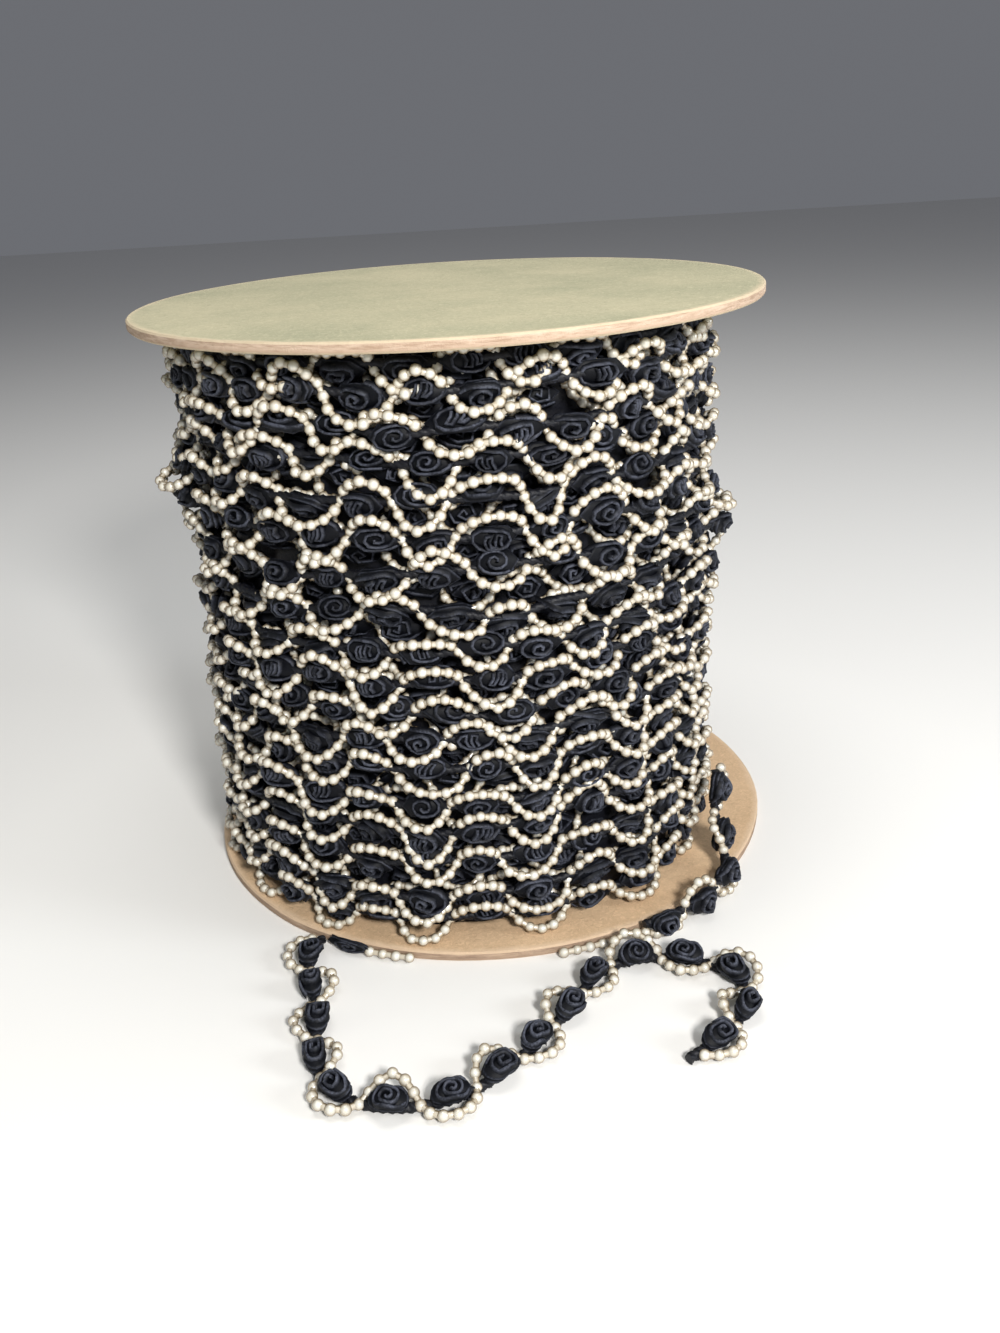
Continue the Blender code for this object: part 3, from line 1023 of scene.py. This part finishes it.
looseEnd = {  # mm, degrees
    "step": 0.8,  # between the points of a path
    "bud": 15.0,  # between rosettes
    "half": 4.75,  # width of a rosette that isn't pulled tight, halved
    "shapes": 8,
    "sunk": 1.0,  # how deep a rosette sits on the braid
    "tipped": 30.0,  # how far the lying rosettes lean forwards
    "tippedLift": 0.8,
    "uneven": 7.0,  # lean of any rosette, a standard deviation
    "long": (0.9, 1.04),
    "wide": (1.0, 1.14),
    "high": (0.95, 1.08),
    "shade": (0.6, 1.0),
    "braid": {"Radius": 1.4 * mm, "Sides": 12},
    "pearlReach": 6.4,
    "pearlSwing": 0.7,
    "pearlHeight": (0.1, 0.9),  # over the braid where they cross it, and how much more beside it
    "pearlClimb": 0.65,  # how fast they rise behind a lying rosette
    "pearlFloor": 1.65,  # lowest middle of a pearl
    "pearlsPast": 7.0,  # how far the pearls go on past the first and the last rosette
    "ends": {  # before the first rosette, after the last, side on which the pearls begin, seed
        "hanging": (5.5, 5.5, 1, 7),
        "lying": (9.0, 5.0, -1, 5),
    },
    "hanging": [  # azimuth, distance from the axis, height, how far the faces tip outwards
        (57.6, 85.8, 31.0, 90),
        (57.2, 86.0, 27.5, 90),
        (56.4, 86.4, 23.0, 90),
        (55.4, 87.2, 18.2, 88),
        (54.2, 88.8, 14.2, 86),
        (52.4, 91.4, 11.2, 84),
        (50.0, 94.8, 9.2, 82),
        (47.0, 97.8, 7.4, 80),
        (43.2, 99.3, 6.0, 80),
        (38.6, 99.8, 5.2, 80),
        (34.0, 99.9, 4.9, 80),
        (30.4, 99.7, 4.8, 80),
        (25.8, 98.9, 4.7, 80),
    ],
    "lying": [  # places on the floor
        (-53.2, -80.6), (-55.4, -84.6), (-56.3, -90.0), (-55.6, -96.5), (-54.0, -103.5),
        (-52.2, -110.5), (-51.2, -118.0), (-51.0, -126.0), (-50.0, -134.5), (-46.5, -142.5),
        (-40.0, -148.8), (-31.5, -152.0), (-22.0, -152.6), (-12.5, -150.3), (-4.0, -145.2),
        (3.5, -138.0), (10.5, -129.8), (17.4, -121.2), (22.0, -113.6), (27.0, -106.6),
        (33.6, -102.2), (41.0, -100.6), (48.0, -100.9), (55.2, -103.2), (61.8, -107.2),
        (66.0, -113.0), (66.6, -120.2), (63.6, -127.4), (58.4, -133.6), (52.4, -138.6),
        (46.4, -142.8),
    ],
    "laid": 1.55,
    "tucked": {  # strings of pearls that show under the rim: azimuth from and to, distance, height
        "hanging": (11.0, 20.5, 97.3, 1.7),
        "lying": (-23.5, -16.0, 96.6, 1.6),
    },
    "tuckedPoints": 12,
    "tuckedRosette": (-27.5, 96.0, 2.7),  # azimuth, distance, height
    "tuckedStretch": (1.25, 0.62, 0.42),
}


def smoothLine(points, steps=12):
    ends = [points[0] * 2 - points[1]] + points + [points[-1] * 2 - points[-2]]
    line = []
    for a, b, c, d in zip(ends, ends[1:], ends[2:], ends[3:]):
        for step in range(steps):
            t = step / steps
            line.append(
                (
                    2 * b
                    + (c - a) * t
                    + (2 * a - 5 * b + 4 * c - d) * t**2
                    + (3 * b - a - 3 * c + d) * t**3
                )
                / 2
            )
    return line + [points[-1]]


def evenLine(line, spacing):
    # points at even distances, with the direction at each
    flat = np.array([tuple(p) for p in line])
    along = np.concatenate([[0], np.cumsum(np.linalg.norm(np.diff(flat, axis=0), axis=1))])
    count = max(2, round(along[-1] / spacing))
    at = np.linspace(0, along[-1], count + 1)
    even = np.stack([np.interp(at, along, flat[:, k]) for k in range(3)], axis=1)
    ahead = np.gradient(even, axis=0)
    ahead /= np.linalg.norm(ahead, axis=1)[:, None]
    return at, even, ahead


def lyingFace(place):
    return Vector((0, 0, 1))


def loosePearls(name, points):
    return runTree(
        name, pathMesh(name, [p * mm for p in points]), pearlTree, {**pearls["fine"], "Material": pearl}
    )


def looseStretch(word, line, faceOf, cadNodes):
    at, even, ahead = evenLine(line, looseEnd["step"])
    total = at[-1]
    first, lastGap, sign, seed = looseEnd["ends"][word]
    rng = np.random.default_rng(seed)
    braid = runTree(
        f"{word}_twisted_braid",
        pathMesh(word, [p * mm for p in even]),
        braidTree,
        {**looseEnd["braid"], "Material": braidFinish},
    )
    spots, points = [], []
    count = int((total - first - lastGap) / looseEnd["bud"]) + 1
    for number in range(count):
        k = int(np.argmin(abs(at - first - number * looseEnd["bud"])))
        place, forward = Vector(even[k]), Vector(ahead[k])
        face, lift = faceOf(place), 0.0
        if word == "lying":
            toward = Vector((0, -1, 0)) - forward * -forward.y
            face = (face + toward * math.tan(math.radians(looseEnd["tipped"]))).normalized()
            lift = looseEnd["tippedLift"] * looseEnd["half"] * math.hypot(face.x, face.y)
        lean = math.radians(rng.normal(0, looseEnd["uneven"]))
        face = Matrix.Rotation(lean, 3, forward) @ face
        spots.append(
            {
                "place": place - face * looseEnd["sunk"] + Vector((0, 0, lift)),
                "face": face,
                "along": forward,
                "stretch": tuple(rng.uniform(*looseEnd[way]) for way in ("long", "wide", "high")),
                "shape": int(rng.integers(looseEnd["shapes"])),
                "shade": rng.uniform(*looseEnd["shade"]),
            }
        )
    if word == "lying":
        out = atAzimuth(looseEnd["tuckedRosette"][0], 1)
        spots.append(
            {
                "place": atAzimuth(*looseEnd["tuckedRosette"]),
                "face": out,
                "along": Vector((-out.y, out.x, 0)),
                "stretch": looseEnd["tuckedStretch"],
                "shape": 2,
                "shade": 0.6,
            }
        )
    begin = max(0, first - looseEnd["pearlsPast"])
    end = first + (count - 1) * looseEnd["bud"] + looseEnd["pearlsPast"]
    for k, distance in enumerate(at):
        if distance < begin or distance > end:
            continue
        place, forward = Vector(even[k]), Vector(ahead[k])
        face = faceOf(place)
        side = face.cross(forward).normalized()
        wave = sign * math.cos(math.pi * (distance - first) / looseEnd["bud"])
        offset = looseEnd["pearlReach"] * math.copysign(abs(wave) ** looseEnd["pearlSwing"], wave)
        over, more = looseEnd["pearlHeight"]
        spot = place + side * offset + face * (over + more * abs(wave))
        if word == "lying":
            spot.z += looseEnd["pearlClimb"] * max(0.0, offset * side.y)
        spot.z = max(spot.z, looseEnd["pearlFloor"])
        points.append(spot)
    rosettes = sew(f"{word}_coiled_rosettes", spots, fineShapes, 1.0)
    string = loosePearls(f"{word}_pearls", points)
    for piece, slot in ((braid, "braid"), (rosettes, "satin"), (string, "pearl")):
        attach(piece, "root")
    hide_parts(f"{word}_braid")
    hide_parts(*cadNodes)
    tucked = tuckedPearls(word)
    print(word, "stretch:", round(total, 1), "mm,", count, "rosettes")


def tuckedPearls(word):
    begin, end, reach, height = looseEnd["tucked"][word]
    azimuths = np.linspace(begin, end, looseEnd["tuckedPoints"])
    string = loosePearls(
        f"{word}_tucked_pearls", [atAzimuth(azimuth, reach, height) for azimuth in azimuths]
    )
    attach(string, "root")
    return string


def hangingPoints():
    return [atAzimuth(azimuth, reach, height) for azimuth, reach, height, _ in looseEnd["hanging"]]


def hangingFace(place):
    points = hangingPoints()
    near = min(range(len(points)), key=lambda k: (points[k] - place).length)
    tip = math.radians(looseEnd["hanging"][near][3])
    outward = Vector((place.x, place.y, 0)).normalized()
    return outward * math.sin(tip) + Vector((0, 0, math.cos(tip)))


# what lies beneath both layers, dark between the strands

core = {  # mm
    "around": 120,
    "levels": 52,
    "foot": 3.3,
    "head": 174.7,
    "depth": 12.0,
    "turns": (0.8, 9.7),  # how far they ripple, and their height
    "bumps": (0.5, 31),  # how far they stand out, and their number
}


def makeCore():
    around, levels, foot, head = (core[word] for word in ("around", "levels", "foot", "head"))
    verts, faces = [], []
    for level in range(levels + 1):
        height = foot + (head - foot) * level / levels
        turns = core["turns"][0] * math.sin(2 * math.pi * height / core["turns"][1])
        for k in range(around):
            bumps = core["bumps"][0] * math.sin(2 * math.pi * k * core["bumps"][1] / around)
            place = windingPlace(360 * k / around, height, core["depth"] - turns - bumps)[0]
            verts.append(place * mm)
    for level in range(levels):
        for k in range(around):
            a, b = level * around + k, level * around + (k + 1) % around
            faces.append((a, b, b + around, a + around))
    for middle, height in ((winding["footMiddle"], foot), (winding["topMiddle"], head)):
        verts.append((middle + Vector((0, 0, height))) * mm)
    last = levels * around
    for k in range(around):
        faces.append(((k + 1) % around, k, len(verts) - 2))
        faces.append((last + k, last + (k + 1) % around, len(verts) - 1))
    mesh = bpy.data.meshes.new("wound_under_turns")
    mesh.from_pydata([tuple(v) for v in verts], [], faces)
    mesh.shade_smooth()
    mesh.materials.append(braidFinish)
    made = bpy.data.objects.new("wound_under_turns", mesh)
    bpy.context.scene.collection.objects.link(made)
    return made


def finishPiece(piece):
    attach(piece, "root")
    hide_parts("wound_trim")
    print(piece.name, sum(len(f.vertices) - 2 for f in piece.data.polygons), "triangles")


# making it all

makeCamera()
makeStudio()
grain = makeThreadGrain()
fibre = makeCardFibre()
satin = makeSatin(grain)
braidFinish = makeBraidFinish(grain)
pearl = makePearl()
rosetteTree = makeRosetteTree()
pearlTree = makePearlTree()
braidTree = makeBraidTree()
shapeSets = {  # number, first seed, step between seeds, half width, points a coil, sides of the bud
    "near": (rosette["shapes"], 30, 1, rosette["halfWidth"], 13, 8),
    "fine": (looseEnd["shapes"], 61, 2, looseEnd["half"], 24, 20),
    "far": (rosette["shapes"], 90, 1, rosette["halfWidth"], 7, 6),
}
nearShapes, fineShapes, farShapes = (
    shapeCollection(
        f"{word}Shapes",
        [
            rosetteShape(f"{word}_{k}", seed + step * k, half, around, budSides)
            for k in range(number)
        ],
    )
    for word, (number, seed, step, half, around, budSides) in shapeSets.items()
)
print("materials and shapes made")

hangingLine = smoothLine(hangingPoints())
lyingLine = smoothLine([Vector((x, y, looseEnd["laid"])) for x, y in looseEnd["lying"]])
for word, line, faceOf in (
    ("hanging", hangingLine, hangingFace),
    ("lying", lyingLine, lyingFace),
):
    cadNodes = sorted(name for name in nodes if name.startswith(f"{word}_rosette"))
    looseStretch(word, line, faceOf, cadNodes)

for word, finish in (("flange_top", "upperCard"), ("flange_bottom", "lowerCard")):
    nodes[word].data.materials.clear()
    nodes[word].data.materials.append(makeCard(finish, fibre))

spots, braidLine, pearlLine = layStrand(layers["outer"])
finishPiece(sew("wound_rosettes", spots, nearShapes, 1.0))
middle = len(pearlLine) // 2
for name, part in (
    ("wound_pearls_lower", pearlLine[: middle + 1]),
    ("wound_pearls_upper", pearlLine[middle:]),
):
    path = pathMesh(name, [p * mm for p in part])
    finishPiece(runTree(name, path, pearlTree, {"Material": pearl}))
path = pathMesh("wound_braid", [p * mm for p in braidLine])
values = {"Radius": 1.3 * mm, "Material": braidFinish}
finishPiece(runTree("wound_braid", path, braidTree, values))
print("outer turns laid")

spots, braidLine, pearlLine = layStrand(layers["under"])
finishPiece(sew("under_rosettes", spots, farShapes, 1.0))
path = pathMesh("under_pearls", [p * mm for p in pearlLine])
values = {"Segments": 6, "Rings": 4, "Material": pearl}
finishPiece(runTree("under_pearls", path, pearlTree, values))
finishPiece(makeCore())
for group in (nearShapes, fineShapes, farShapes):
    for thing in list(group.objects):
        bpy.data.objects.remove(thing)
    bpy.data.collections.remove(group)
print("under layer laid")
